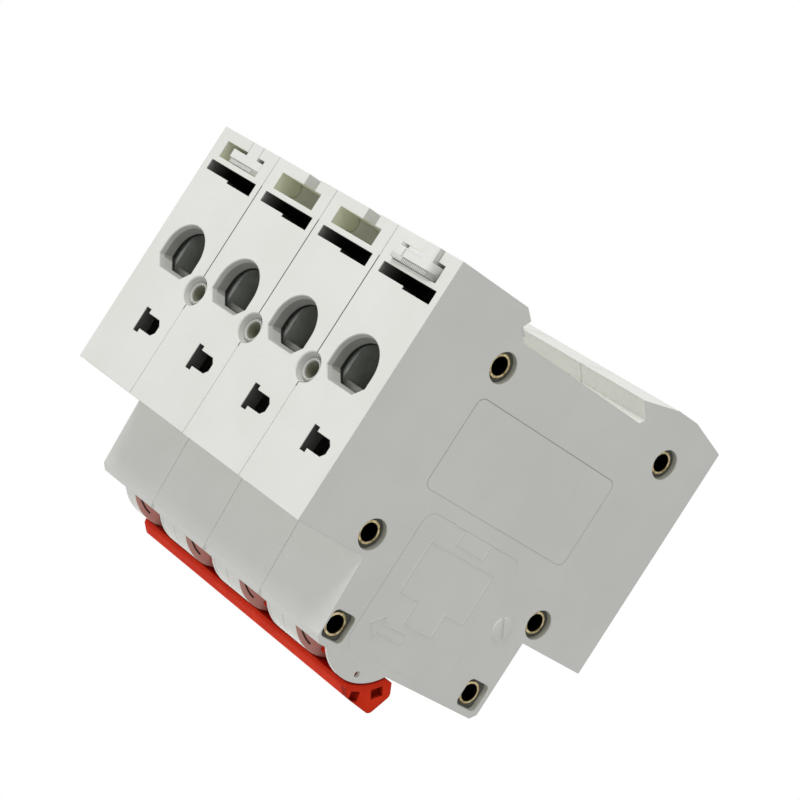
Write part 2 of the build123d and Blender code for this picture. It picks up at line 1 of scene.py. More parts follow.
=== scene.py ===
import bpy
import json
from math import cos, pi, radians, sin
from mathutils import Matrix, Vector


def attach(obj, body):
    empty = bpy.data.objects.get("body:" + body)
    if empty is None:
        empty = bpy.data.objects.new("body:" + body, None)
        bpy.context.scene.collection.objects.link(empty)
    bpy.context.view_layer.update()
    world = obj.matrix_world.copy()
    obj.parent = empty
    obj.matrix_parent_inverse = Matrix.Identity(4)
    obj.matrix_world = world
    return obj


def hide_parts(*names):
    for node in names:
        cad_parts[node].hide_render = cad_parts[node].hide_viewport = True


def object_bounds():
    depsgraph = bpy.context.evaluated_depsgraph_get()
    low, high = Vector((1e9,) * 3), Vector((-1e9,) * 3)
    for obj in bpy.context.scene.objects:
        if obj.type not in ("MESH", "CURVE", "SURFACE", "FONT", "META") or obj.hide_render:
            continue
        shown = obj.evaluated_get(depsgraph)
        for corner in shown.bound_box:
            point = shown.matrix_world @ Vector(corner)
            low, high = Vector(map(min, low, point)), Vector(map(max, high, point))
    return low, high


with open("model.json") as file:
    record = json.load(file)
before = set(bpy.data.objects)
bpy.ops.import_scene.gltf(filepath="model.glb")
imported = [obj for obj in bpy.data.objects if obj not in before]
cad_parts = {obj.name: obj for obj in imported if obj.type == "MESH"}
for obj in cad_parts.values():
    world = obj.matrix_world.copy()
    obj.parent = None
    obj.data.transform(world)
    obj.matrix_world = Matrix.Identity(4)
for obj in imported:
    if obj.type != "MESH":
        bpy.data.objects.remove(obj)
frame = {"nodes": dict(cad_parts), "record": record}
cad_low, cad_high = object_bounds()
nodes = frame["nodes"]

MM = 0.001
MODULE = 18.0

# Planes and places of the breaker, in millimetres. A pair without a note is (y, z).
BOTTOM = -39.45
LEFT_SIDE = -35.95
SEAM = 7.25
CHEEK = 0.7
HINGE = (-53.1, -10.4)
BOSS = 10.4
NOSE_FRONT = -60.0
ROW_HALF = 35.9
CHANNEL_HALF = 6.05
# Depth at which two poles share a recess
LINK = -22.5
# Depths between which the rail's channel, the vent, the wire entry and the keyhole lie
CHANNEL = (-0.05, 3.3)
VENT = (-3.55, -0.95)
ENTRY = (-22.45, -12.55)
KEYHOLE = (-34.35, -29.45)
BODY_RIVETS = ((-5.3, -18.9), (-3.6, 28.7), (-39.9, -23.6), (-39.6, 23.4))
NOSE_RIVETS = ((-56.0, -18.7), (-56.0, 18.7))
RIVETS = BODY_RIVETS + NOSE_RIVETS


def pole_x(pole):
    """Centre of a pole across the row, in millimetres."""
    return (pole - 2.5) * MODULE


# Finishes


class Value:
    """A socket in a finish: arithmetic on it adds Math nodes."""

    def __init__(self, finish, socket):
        self.finish = finish
        self.socket = socket

    def math(self, operation, *others):
        inputs = {0: self}
        for place, other in enumerate(others, 1):
            inputs[place] = other
        return self.finish.node("ShaderNodeMath", {"operation": operation}, inputs)

    def __add__(self, other):
        return self.math("ADD", other)

    def __sub__(self, other):
        return self.math("SUBTRACT", other)

    def __mul__(self, other):
        return self.math("MULTIPLY", other)

    def __pow__(self, other):
        return self.math("POWER", other)

    def __mod__(self, other):
        return self.math("FLOORED_MODULO", other)

    def __lt__(self, other):
        return self.math("LESS_THAN", other)

    def __gt__(self, other):
        return self.math("GREATER_THAN", other)

    def __abs__(self):
        return self.math("ABSOLUTE")

    def __rsub__(self, other):
        return self * -1 + other

    __radd__ = __add__
    __rmul__ = __mul__

    def most(self, other):
        return self.math("MAXIMUM", other)

    def least(self, other):
        return self.math("MINIMUM", other)

    def rise(self, low, high):
        """0 below low, 1 above high and a soft step between."""
        settings = {"interpolation_type": "SMOOTHSTEP"}
        inputs = {"Value": self, "From Min": low, "From Max": high}
        return self.finish.node("ShaderNodeMapRange", settings, inputs)

    def between(self, low, high):
        return (self > low) * (self < high)

    def near(self, place, reach):
        """1 at the place, falling softly to 0 at reach from it."""
        return 1 - abs(self - place).rise(0.0, reach)


class Finish:
    """One surface finish: a Principled shader and the nodes that feed it."""

    def __init__(self, name, **fixed):
        self.material = bpy.data.materials.new(name)
        self.material.use_nodes = True
        self.tree = self.material.node_tree
        self.shader = self.tree.nodes["Principled BSDF"]
        for words, value in fixed.items():
            self.socket(words).default_value = value

    def socket(self, words):
        """The shader's own socket, named as base_color or specular_ior_level."""
        return self.shader.inputs[words.replace("_", " ").title().replace("Ior", "IOR")]

    def node(self, kind, settings, inputs, output=0):
        """Any node: its settings first, then values or links for its sockets."""
        made = self.tree.nodes.new(kind)
        for name, value in settings.items():
            setattr(made, name, value)
        for place, value in inputs.items():
            self.put(made.inputs[place], value)
        return Value(self, made.outputs[output])

    def put(self, socket, value):
        if isinstance(value, Value):
            self.tree.links.new(value.socket, socket)
        else:
            socket.default_value = value

    def set(self, **feeds):
        """Feeds the shader's own sockets."""
        for words, value in feeds.items():
            self.put(self.socket(words), value)

    def place(self):
        """X, Y and Z of a point of the breaker, in millimetres."""
        coordinates = self.node("ShaderNodeTexCoord", {}, {}, "Object")
        return [
            self.node("ShaderNodeSeparateXYZ", {}, {0: coordinates}, axis) * 1000
            for axis in ("X", "Y", "Z")
        ]

    def noise(self, size, detail=3.0, roughness=0.55):
        """Cloudy pattern whose features are about size millimetres wide, around 0.5."""
        coordinates = self.node("ShaderNodeTexCoord", {}, {}, "Object")
        inputs = {
            "Vector": coordinates,
            "Scale": 1000.0 / size,
            "Detail": detail,
            "Roughness": roughness,
        }
        return self.node("ShaderNodeTexNoise", {}, inputs, "Fac")

    def blend(self, factor, first, second):
        """Colour that goes from first to second."""
        inputs = {0: factor, 6: first, 7: second}
        return self.node("ShaderNodeMix", {"data_type": "RGBA"}, inputs, 2)

    def soft_edges(self, radius, height=None, depth=0.0, sharp=None):
        """Normals that round the edges by radius mm, with a relief of depth mm on top.

        Where sharp is 1, the edge stays as it is cut.
        """
        normal = self.node("ShaderNodeBevel", {"samples": 6}, {"Radius": radius * MM})
        if sharp is not None:
            flat = self.node("ShaderNodeNewGeometry", {}, {}, "Normal")
            inputs = {0: sharp, 4: normal, 5: flat}
            normal = self.node("ShaderNodeMix", {"data_type": "VECTOR"}, inputs, 1)
        if height is not None:
            inputs = {"Height": height, "Distance": depth * MM, "Normal": normal}
            normal = self.node("ShaderNodeBump", {}, inputs)
        self.set(normal=normal)


def colour(red, green, blue):
    return (red, green, blue, 1.0)


def distance(first, second, middle):
    """How far a point lies from middle, as seen along the third axis."""
    reach_a, reach_b = first - middle[0], second - middle[1]
    return (reach_a * reach_a + reach_b * reach_b) ** 0.5


def panel_depth(across, along, middle, half, corner):
    """0 inside a rounded panel, rising to 1 outside it over a narrow border."""
    border = 0.12
    reach_a = (abs(across - middle[0]) - (half[0] - corner)).most(0.0)
    reach_b = (abs(along - middle[1]) - (half[1] - corner)).most(0.0)
    return ((reach_a * reach_a + reach_b * reach_b) ** 0.5 - corner).rise(-border, border)


# Housing: each paint function takes the finish, the point and the colour so far


class HousingPoint:
    """A point of the housings in millimetres, and its place on its own pole."""

    def __init__(self, finish):
        self.x, self.y, self.z = finish.place()
        module = self.x % MODULE
        self.across = module - MODULE / 2
        # Distance from the nearest boundary between poles, and from the toggles' hinge
        self.edge = module.least(MODULE - module)
        self.reach = distance(self.y, self.z, HINGE)
        self.below = (self.z > BOTTOM + 0.1) * (self.z < -26.0)
        # Places that two poles share, which leaves out the outer sides
        self.shared = abs(self.x) < 1.5 * MODULE


def paint_chamber_shade(f, at, body):
    """Inside the chambers the plastic is darkened with painted shade, as it sees little light."""
    middle = (abs(at.x) < 35.8) * (at.y < -0.6) * (at.edge > 0.3)
    chamber = (at.y > -43.0) * (abs(at.z + 0.2) < 39.0)
    nose = (at.y > -58.6) * (abs(at.z) < 20.8)
    return f.blend(middle * chamber.most(nose) * 0.55, body, colour(0.30, 0.30, 0.28))


def paint_vent_shade(f, at, body):
    """Vent slots: painted black shade inside, with a little painted light on their far ends."""
    vent = (abs(at.across) < 7.45) * at.y.between(*VENT)
    far_end_light = (at.across > SEAM - 0.05) * (1 - at.z.rise(BOTTOM, BOTTOM + 6.0))
    return f.blend(at.below * vent * (0.98 - far_end_light * 0.6), body, colour(0.012, 0.012, 0.009))


def paint_keyhole_shade(f, at, body):
    """Keyhole slots: painted black shade, with a faint painted light in their neck."""
    key = at.y.between(*KEYHOLE) * at.across.between(-6.05, 0.05)
    neck = at.across > -1.6
    return f.blend(at.below * key * (0.985 - neck * 0.16), body, colour(0.014, 0.015, 0.012))


def paint_wire_entry_shade(f, at, body):
    """Painted shade on the taper walls of the wire entries, a painted black shadow at their inner
    rim and a painted dark step of shade in one corner.
    """
    entry = at.y.between(*ENTRY) * (abs(at.across) < 5.6) * (at.z < BOTTOM + 3.05)
    taper_shade = at.z.rise(BOTTOM + 0.95, BOTTOM + 1.1) * (0.12 + (at.y > -20.5) * 0.6)
    body = f.blend(entry * at.below * taper_shade, body, colour(0.17, 0.175, 0.15))
    # Painted black shadow round the inner rim
    rim = entry * at.z.rise(BOTTOM + 2.45, BOTTOM + 2.6)
    body = f.blend(rim, body, colour(0.012, 0.012, 0.010))
    # Painted shade of a dark step in one front corner
    corner = (abs(at.across + 4.3) < 0.75) * at.y.between(-22.6, -21.2)
    step = corner * (at.z < BOTTOM + 0.9) * at.below
    return f.blend(step * 0.9, body, colour(0.03, 0.03, 0.025))


def paint_channels(f, at, body):
    """Clip channels: greener and duller than the faces, with a round mark of the mould."""
    wide = at.y.between(*CHANNEL) * (abs(at.across) < CHANNEL_HALF)
    channel = wide * (at.z > BOTTOM + 0.08) * (at.z < -18.2)
    mark = distance(at.y, at.z, (1.9, -35.4))
    mark_radius = 1.6
    shallow = (at.z < -33.9).most(mark < mark_radius)
    green = f.blend(shallow, colour(0.80, 0.80, 0.71), colour(0.70, 0.715, 0.56))
    rim = mark.near(mark_radius, 0.2) * (at.z > -35.6)
    green = f.blend(rim * 0.6, green, colour(0.16, 0.17, 0.10))
    return f.blend(channel * 0.9, body, green)


def paint_recess_shade(f, at, body):
    """Painted greenish shade in the bores of the recesses that two poles share."""
    bore = distance(at.edge, at.y, (0.0, LINK)) < 1.75
    deep = (at.z > BOTTOM + 1.25) * (at.z < BOTTOM + 5.2)
    inner = at.shared * at.y.between(-26.0, -19.0)
    return f.blend(inner * deep * bore * 0.85, body, colour(0.27, 0.275, 0.19))


def paint_lines(f, at, body):
    """Hairlines where two poles meet, beside the recess, and the parting line of each boss."""
    hair = (at.edge < 0.13) * at.shared * (at.z < BOTTOM + 1.5)
    stretch = at.y.rise(-21.2, -20.6).most(at.y.between(-26.2, -23.7)) * (at.y < -0.6)
    body = f.blend(hair * stretch * 0.8, body, colour(0.05, 0.05, 0.04))
    front = (at.reach > BOSS - 0.1) * (at.y < NOSE_FRONT + 0.1) * (at.z < -12.0)
    arc = (abs(at.across - 4.85) < 0.09) * front
    return f.blend(arc * 0.5, body, colour(0.12, 0.11, 0.10))


def paint_cheeks(f, at, body):
    """The toggle throws red light on the cheeks beside it, down to the gap of its skirt."""
    front = (at.y < -57.0) * (at.reach < BOSS + 0.05) * (at.z < 2.0)
    cheek = (abs(at.across - CHEEK) < 0.06) * front
    body = f.blend(cheek, body, colour(0.78, 0.50, 0.43))
    slit = at.reach.between(9.15, 9.5) * at.z.between(-16.2, -12.4)
    return f.blend(cheek * slit * 0.95, body, colour(0.03, 0.01, 0.008))


def paint_rivet_seats(f, at, body):
    """Shadowed floors and walls of the rivet seats on both outer sides."""
    floor = ROW_HALF - 1.05
    seats = 0.0
    for rivets, half in ((BODY_RIVETS, 2.95), (NOSE_RIVETS, 2.72)):
        for depth, height in rivets:
            seats = (abs(at.y - depth).most(abs(at.z - height)) < half) + seats
    seats = seats * (abs(at.x) < ROW_HALF) * (abs(at.x) > ROW_HALF - 1.3)
    body = f.blend(seats * (abs(at.x) < floor) * 0.85, body, colour(0.05, 0.05, 0.035))
    return f.blend(seats * (abs(at.x) > floor - 0.01) * 0.5, body, colour(0.36, 0.36, 0.27))


def housing_finish():
    """Moulded thermoset of the housings: warm white, finely grained, with painted shade in its
    openings.
    """
    f = Finish("housing_plastic", roughness=0.5, specular_ior_level=0.4)
    at = HousingPoint(f)
    cloud = f.noise(14.0)
    grain = f.noise(0.22, 2.0)
    speck = f.noise(1.3, 1.0).rise(0.72, 0.8)
    body = f.blend(cloud.rise(0.3, 0.7), colour(0.775, 0.78, 0.735), colour(0.81, 0.815, 0.775))
    body = f.blend(speck * 0.12, body, colour(0.55, 0.54, 0.50))
    for paint in (
        paint_chamber_shade,
        paint_vent_shade,
        paint_keyhole_shade,
        paint_wire_entry_shade,
        paint_channels,
        paint_recess_shade,
        paint_lines,
        paint_cheeks,
        paint_rivet_seats,
    ):
        body = paint(f, at, body)

    # Shallow moulded panels on the left side; the large one has painted shade along its border,
    # heavier on its rear and upper sides
    side = at.x < LEFT_SIDE + 0.05
    large = panel_depth(at.y, at.z, (-19.9, 0.3), (8.8, 19.9), 1.6)
    small = panel_depth(at.y, at.z, (-45.0, -2.2), (13.4, 13.2), 2.4)
    relief = side * (large + small * 0.5)
    shaded_border = (at.y > -12.0).most(at.z > 19.0)
    line = large * (1 - large) * (0.1 + shaded_border * 1.7)
    body = f.blend(side * line, body, colour(0.28, 0.28, 0.25))

    f.set(base_color=body, roughness=0.46 + grain * 0.12)
    height = grain * 0.12 + f.noise(2.6) * 0.06 + relief
    joint = (abs(at.across - SEAM) < 0.45) * (at.y > NOSE_FRONT - 0.2)
    f.soft_edges(0.22, height, 0.22, joint)
    return f.material


def handle_finish():
    """Smooth moulded red plastic of the bar and toggles."""
    f = Finish("red_plastic", roughness=0.6, specular_ior_level=0.06)
    x, y, z = f.place()
    cloud = f.noise(5.0)
    grain = f.noise(0.3, 2.0)
    tint = f.blend(cloud.rise(0.3, 0.7), colour(0.74, 0.030, 0.008), colour(0.84, 0.045, 0.012))
    # Painted shade: deeper red towards the hinge and in the end pockets
    away = distance(y, z, HINGE)
    tint = f.blend((1 - away.rise(10.6, 12.4)) * 0.35, tint, colour(0.42, 0.012, 0.004))
    pocket_shade = x.between(-35.9, -34.5) * away.between(11.7, 14.2)
    tint = f.blend(pocket_shade * 0.6, tint, colour(0.16, 0.006, 0.003))
    f.set(base_color=tint, roughness=0.52 + grain * 0.14)
    f.soft_edges(0.45, grain * 0.5 + cloud, 0.03)
    return f.material


def clip_finish():
    """White nylon of the rail clips."""
    f = Finish("clip_plastic", roughness=0.42)
    x, y, z = f.place()
    cloud = f.noise(7.0)
    grain = f.noise(0.4, 2.0)
    tint = f.blend(cloud, colour(0.76, 0.76, 0.73), colour(0.82, 0.82, 0.80))
    # Painted shade where the foot curves down beside the left housing
    corner_shade = (1 - x.rise(-33.1, -29.9)) * (z < BOTTOM + 1.5)
    tint = f.blend(corner_shade * 0.8, tint, colour(0.24, 0.235, 0.21))
    # Painted shade on the ledge and ribs in front of the foot
    ledge = (y < 1.0) * (z < BOTTOM - 0.3)
    tint = f.blend(ledge * 0.3, tint, colour(0.45, 0.45, 0.43))
    f.set(base_color=tint, roughness=0.4 + grain * 0.1)
    f.soft_edges(0.2, grain, 0.015)
    return f.material


def metal_finish(name, dull, bright, roughness, size=1.2, metallic=1.0):
    """Worked metal with faint stains and a fine finish."""
    f = Finish(name, metallic=metallic, roughness=roughness)
    stain = f.noise(size, 4.0)
    grain = f.noise(0.12, 2.0)
    tint = f.blend(stain.rise(0.35, 0.65), colour(*dull), colour(*bright))
    f.set(base_color=tint, roughness=roughness - 0.08 + stain * 0.16)
    f.soft_edges(0.12, grain, 0.01)
    return f.material


def rivet_finish():
    """Brass of the rolled rims, with painted black shade inside the hollow."""
    f = Finish("rivet_brass", metallic=1.0, roughness=0.3)
    x, y, z = f.place()
    stain = f.noise(0.9, 4.0)
    tint = f.blend(stain.rise(0.35, 0.65), colour(0.24, 0.19, 0.09), colour(0.60, 0.50, 0.29))
    far = 9.0
    away = far
    for rivet in RIVETS:
        away = distance(y, z, rivet).least(away)
    # Painted black shade inside the bore
    hollow = 1 - away.rise(1.72, 1.80)
    tint = f.blend(hollow, tint, colour(0.02, 0.016, 0.010))
    f.set(base_color=tint, roughness=0.24 + stain * 0.16)
    f.soft_edges(0.08, stain, 0.02)
    return f.material


def card_finish():
    """Arc chute: plated splitter plates between grey fibre cards."""
    f = Finish("chute_steel", roughness=0.5)
    stain = f.noise(2.0, 4.0)
    tint = f.blend(stain.rise(0.35, 0.65), colour(0.34, 0.34, 0.33), colour(0.5, 0.5, 0.48))
    f.set(base_color=tint, metallic=0.8, roughness=0.4 + stain * 0.2)
    f.soft_edges(0.1, f.noise(0.2), 0.01)
    return f.material


# Metals: the dull and the bright tone of each
SCREW_TONES = (0.46, 0.46, 0.45), (0.6, 0.6, 0.58)
CAGE_TONES = (0.33, 0.355, 0.32), (0.40, 0.425, 0.385)
# Tin plate of the fixed contacts, toned dark as painted shade inside the chambers
TIN_AND_SHADE_TONES = (0.20, 0.205, 0.185), (0.27, 0.27, 0.245)
COPPER_TONES = (0.52, 0.27, 0.16), (0.72, 0.42, 0.28)
ENAMEL_TONES = (0.34, 0.13, 0.06), (0.46, 0.2, 0.09)
BIMETAL_TONES = (0.48, 0.44, 0.37), (0.6, 0.56, 0.48)

# Each finish by the words that its nodes' names hold
finishes = {
    "base": housing_finish(),
    "toggle": handle_finish(),
    "rail_clip": clip_finish(),
    "hollow_rivets": rivet_finish(),
    "screw": metal_finish("screw_zinc", *SCREW_TONES, 0.36),
    "cage": metal_finish("cage_steel", *CAGE_TONES, 0.55, size=2.0, metallic=0.2),
    "fixed_contact": metal_finish("tinned_copper_and_shade", *TIN_AND_SHADE_TONES, 0.5, metallic=0.5),
    "contact_arm": metal_finish("bare_copper", *COPPER_TONES, 0.35),
    "trip_coil": metal_finish("enamelled_copper", *ENAMEL_TONES, 0.28),
    "bimetal": metal_finish("bimetal_strip", *BIMETAL_TONES, 0.4),
    "arc_chute": card_finish(),
}
finishes["cover"] = finishes["base"]
finishes["handle_bar"] = finishes["toggle"]

for name, node in nodes.items():
    for kind, material in finishes.items():
        if kind in name:
            for slot in node.material_slots:
                slot.material = material


# Shaping tools


def select_where(piece, kind, test):
    """Selects in edit mode the points, edges or faces that pass the test, in mm.

    The test is given a point, an edge's two ends, or a face's middle and its normal.
    """
    bpy.ops.object.mode_set(mode="EDIT")
    bpy.ops.mesh.select_mode(type=kind)
    bpy.ops.mesh.select_all(action="DESELECT")
    bpy.ops.object.mode_set(mode="OBJECT")
    mesh = piece.data
    parts = {"VERT": mesh.vertices, "EDGE": mesh.edges, "FACE": mesh.polygons}[kind]
    for part in parts:
        if kind == "VERT":
            part.select = test(part.co / MM)
        elif kind == "EDGE":
            ends = [mesh.vertices[corner].co / MM for corner in part.vertices]
            part.select = test(*ends)
        else:
            part.select = test(part.center / MM, part.normal)
    bpy.ops.object.mode_set(mode="EDIT")


def face_outwards():
    """Leaves edit mode with all the faces turned outwards."""
    bpy.ops.mesh.select_all(action="SELECT")
    bpy.ops.mesh.normals_make_consistent(inside=False)
    bpy.ops.object.mode_set(mode="OBJECT")


def finish_piece(piece, name, material, body):
    """Puts a shaped piece's place in its mesh, and gives it its finish and its body."""
    if bpy.context.mode != "OBJECT":
        bpy.ops.object.mode_set(mode="OBJECT")
    bpy.ops.object.select_all(action="DESELECT")
    piece.select_set(True)
    bpy.context.view_layer.objects.active = piece
    bpy.ops.object.transform_apply(location=True, rotation=True, scale=True)
    piece.name = name
    piece.data.materials.clear()
    piece.data.materials.append(material)
    bpy.ops.object.shade_smooth_by_angle(angle=radians(35))
    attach(piece, body)
    return piece


def join_pieces(pieces):
    bpy.ops.object.select_all(action="DESELECT")
    for piece in pieces:
        piece.select_set(True)
    bpy.context.view_layer.objects.active = pieces[0]
    bpy.ops.object.join()
    return pieces[0]


def copied(piece, offset):
    """Copy of a piece with its own mesh, moved by offset in mm."""
    twin = piece.copy()
    twin.data = piece.data.copy()
    bpy.context.scene.collection.objects.link(twin)
    twin.location = Vector(piece.location) + Vector(offset) * MM
    return twin


def cylinder_along_x(vertices, radius, length):
    """Cylinder along X, in mm, with its turn put into its mesh."""
    bpy.ops.object.select_all(action="DESELECT")
    bpy.ops.mesh.primitive_cylinder_add(
        vertices=vertices, radius=radius * MM, depth=length * MM, rotation=(0, pi / 2, 0)
    )
    bpy.ops.object.transform_apply(rotation=True)
    return bpy.context.object


def block(low, high, bevel):
    """Small moulded block between two corners, in mm, with its edges eased."""
    bpy.ops.object.select_all(action="DESELECT")
    bpy.ops.mesh.primitive_cube_add(size=MM)
    piece = bpy.context.object
    piece.scale = [top - base for base, top in zip(low, high)]
    piece.location = [(top + base) / 2 * MM for base, top in zip(low, high)]
    bpy.ops.object.transform_apply(location=True, scale=True)
    bpy.ops.object.mode_set(mode="EDIT")
    bpy.ops.mesh.select_all(action="SELECT")
    bpy.ops.mesh.bevel(offset=bevel * MM, segments=2, affect="EDGES")
    bpy.ops.object.mode_set(mode="OBJECT")
    return piece


def moulded_lines(name, strokes, radius):
    """Thin raised lines on the left side, each stroke a list of (depth, height) points."""
    curve = bpy.data.curves.new(name, "CURVE")
    curve.dimensions = "3D"
    curve.bevel_depth = radius * MM
    curve.bevel_resolution = 2
    for points, closed in strokes:
        spline = curve.splines.new("POLY")
        spline.points.add(len(points) - 1)
        for point, (depth, height) in zip(spline.points, points):
            point.co = (LEFT_SIDE * MM, depth * MM, height * MM, 1.0)
        spline.use_cyclic_u = closed
    lines = bpy.data.objects.new(name, curve)
    bpy.context.scene.collection.objects.link(lines)
    bpy.ops.object.select_all(action="DESELECT")
    lines.select_set(True)
    bpy.context.view_layer.objects.active = lines
    bpy.ops.object.convert(target="MESH")
    return finish_piece(bpy.context.object, name, finishes["base"], "housing")


# Hollow rivets with rolled rims

# Half length, then the radii of the tube, the lips and the bore, and the lips' length
RIVET_HALF = 35.05
TUBE, LIP, HOLLOW, LIP_LONG = 1.9, 2.4, 1.62, 0.7
RIVET_ROUNDING = 0.3
# Points this close belong to one end face
NEAR = 0.1


def build_rolled_rivet():
    """Tube through the row of poles, rolled over at both ends into a rounded rim."""
    rivet = cylinder_along_x(40, LIP, 2 * RIVET_HALF)
    # The middle is drawn in behind the two lips
    for end in (-1, 1):
        bpy.ops.object.mode_set(mode="EDIT")
        bpy.ops.mesh.select_all(action="SELECT")
        bpy.ops.mesh.bisect(
            plane_co=(end * (RIVET_HALF - LIP_LONG) * MM, 0, 0), plane_no=(1, 0, 0)
        )
        bpy.ops.object.mode_set(mode="OBJECT")
    select_where(rivet, "VERT", lambda p: abs(p.x) < RIVET_HALF - NEAR)
    bpy.ops.transform.resize(value=(1, TUBE / LIP, TUBE / LIP))
    # The bore joins the two inset ends
    select_where(rivet, "FACE", lambda p, n: abs(n.x) > 0.99 and abs(p.x) > RIVET_HALF - NEAR)
    bpy.ops.mesh.inset(thickness=(LIP - HOLLOW) * MM)
    bpy.ops.mesh.bridge_edge_loops()

    def rim(a, b):
        on_end = min(abs(a.x), abs(b.x)) > RIVET_HALF - NEAR and abs(a.x - b.x) < NEAR
        return on_end and abs(a.yz.length - b.yz.length) < NEAR

    select_where(rivet, "EDGE", rim)
    bpy.ops.mesh.bevel(offset=RIVET_ROUNDING * MM, segments=4, affect="EDGES")
    face_outwards()
    return rivet


first_rivet = build_rolled_rivet()
rivets = [copied(first_rivet, (0, depth, height)) for depth, height in RIVETS]
bpy.data.objects.remove(first_rivet)
rivets = join_pieces(rivets)
finish_piece(rivets, "rolled_rivets", finishes["hollow_rivets"], "housing")
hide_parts("hollow_rivets")


# Raised rims round the bores of the shared recesses

RIM_RADIUS, RIM_WALL, RIM_TALL, RIM_ROUNDING = 2.05, 0.45, 0.9, 0.2
RIM_MIDDLE = BOTTOM + 1.33


def build_recess_rim():
    """Soft ring that stands in the dish of a recess."""
    bpy.ops.object.select_all(action="DESELECT")
    bpy.ops.mesh.primitive_cylinder_add(
        vertices=40, radius=RIM_RADIUS * MM, depth=RIM_TALL * MM, location=(0, 0, RIM_MIDDLE * MM)
    )
    ring = bpy.context.object
    bpy.ops.object.transform_apply(location=True)
    select_where(ring, "FACE", lambda p, n: abs(n.z) > 0.99)
    bpy.ops.mesh.inset(thickness=RIM_WALL * MM)
    bpy.ops.mesh.bridge_edge_loops()

    def lower_edge(a, b):
        level = abs(a.z - b.z) < 0.01 and a.z < BOTTOM + 0.9
        return level and abs(a.xy.length - b.xy.length) < NEAR

    select_where(ring, "EDGE", lower_edge)
    bpy.ops.mesh.bevel(offset=RIM_ROUNDING * MM, segments=4, affect="EDGES")
    face_outwards()
    return ring


first_ring = build_recess_rim()
rings = [copied(first_ring, (boundary, LINK, 0)) for boundary in (-MODULE, 0.0, MODULE)]
bpy.data.objects.remove(first_ring)
finish_piece(join_pieces(rings), "recess_rims", finishes["base"], "housing")


# Rail clips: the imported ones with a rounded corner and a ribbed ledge

RIB_COUNT, RIB_STEP, RIB_EASING = 15, 0.44, 0.05
# Corners of the first rib, from the pole's centre and the clip's foot
RIB_LOW, RIB_HIGH = (-3.7, 0.13, 0.1), (-3.48, 0.93, 0.6)
# Blocks that close the first clip's foot and the channel behind it, with their easing
FOOT_BLOCKS = (
    ((2.8, 0.15, 0.0), (5.88, 2.6, 7.2), 0.15),
    ((-1.2, 2.3, 0.02), (2.9, 3.14, 6.0), 0.12),
    ((4.9, 2.3, 0.02), (5.88, 3.14, 6.0), 0.12),
)
# Merging distance for the copied mesh, and the angle below which its faces are one
MERGE, FLAT = 0.002, 2.0


def body_of(name):
    """Body that a node belongs to."""
    for body, members in frame["record"]["behaviour"]["bodies"].items():
        if name in members:
            return body


def build_clip(pole, foot, round_off, blocks=()):
    """Clip with its outer corner rounded, and ribs along the ledge of its foot."""
    name = f"rail_clip_{pole}"
    clip = copied(nodes[name], (0, 0, 0))
    bpy.ops.object.select_all(action="DESELECT")
    clip.select_set(True)
    bpy.context.view_layer.objects.active = clip
    bpy.ops.object.mode_set(mode="EDIT")
    bpy.ops.mesh.select_all(action="SELECT")
    bpy.ops.mesh.remove_doubles(threshold=MERGE * MM)
    bpy.ops.mesh.dissolve_limited(angle_limit=radians(FLAT))
    bpy.ops.object.mode_set(mode="OBJECT")

    def outer_corner(a, b):
        low = max(a.z, b.z) < foot + 0.5
        return low and max(a.x, b.x) < pole_x(pole) - 5.8 and abs(a.y - b.y) > 0.3

    def clip_block(low, high, easing):
        start = (pole_x(pole), 0.0, foot)
        corners = [[base + shift for base, shift in zip(start, end)] for end in (low, high)]
        return block(*corners, easing)

    select_where(clip, "EDGE", outer_corner)
    bpy.ops.mesh.bevel(offset=round_off * MM, segments=8, affect="EDGES")
    bpy.ops.object.mode_set(mode="OBJECT")
    rib = clip_block(RIB_LOW, RIB_HIGH, RIB_EASING)
    added = [rib] + [copied(rib, (step * RIB_STEP, 0, 0)) for step in range(1, RIB_COUNT)]
    added += [clip_block(*corners) for corners in blocks]
    clip = join_pieces([clip] + added)
    finish_piece(clip, f"clip_{pole}", finishes["rail_clip"], body_of(name))
    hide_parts(name)


build_clip(1, BOTTOM - 1.0, 2.2, FOOT_BLOCKS)
build_clip(4, BOTTOM, 0.5)


# Moulded marks on the left side

LUG_PLACE = (-43.3, 15.75)
LUG_RADIUS, LUG_TALL, LUG_GAP, LUG_TILT, LUG_EASING = 2.25, 0.32, 0.3, 55.0, 0.1
SIGN_LINE = 0.12
# Outlines of the sign, as (depth, height): the rail, a housing on it and an arrow beside it
SIGN_RAIL = [(-31.5, -8.5), (-31.5, -5.5), (-34.5, -5.5), (-34.5, 2.0), (-31.5, 2.0), (-31.5, 5.0)]
SIGN_HOUSING = [
    (-36.0, -11.0), (-36.0, 6.5), (-46.0, 6.5), (-46.0, 1.5),
    (-50.5, 1.5), (-50.5, -6.0), (-46.0, -6.0), (-46.0, -11.0),
]
SIGN_ARROW = [
    (-53.0, -13.0), (-55.2, -10.5), (-53.9, -10.5), (-53.9, -4.0),
    (-52.1, -4.0), (-52.1, -10.5), (-50.8, -10.5),
]


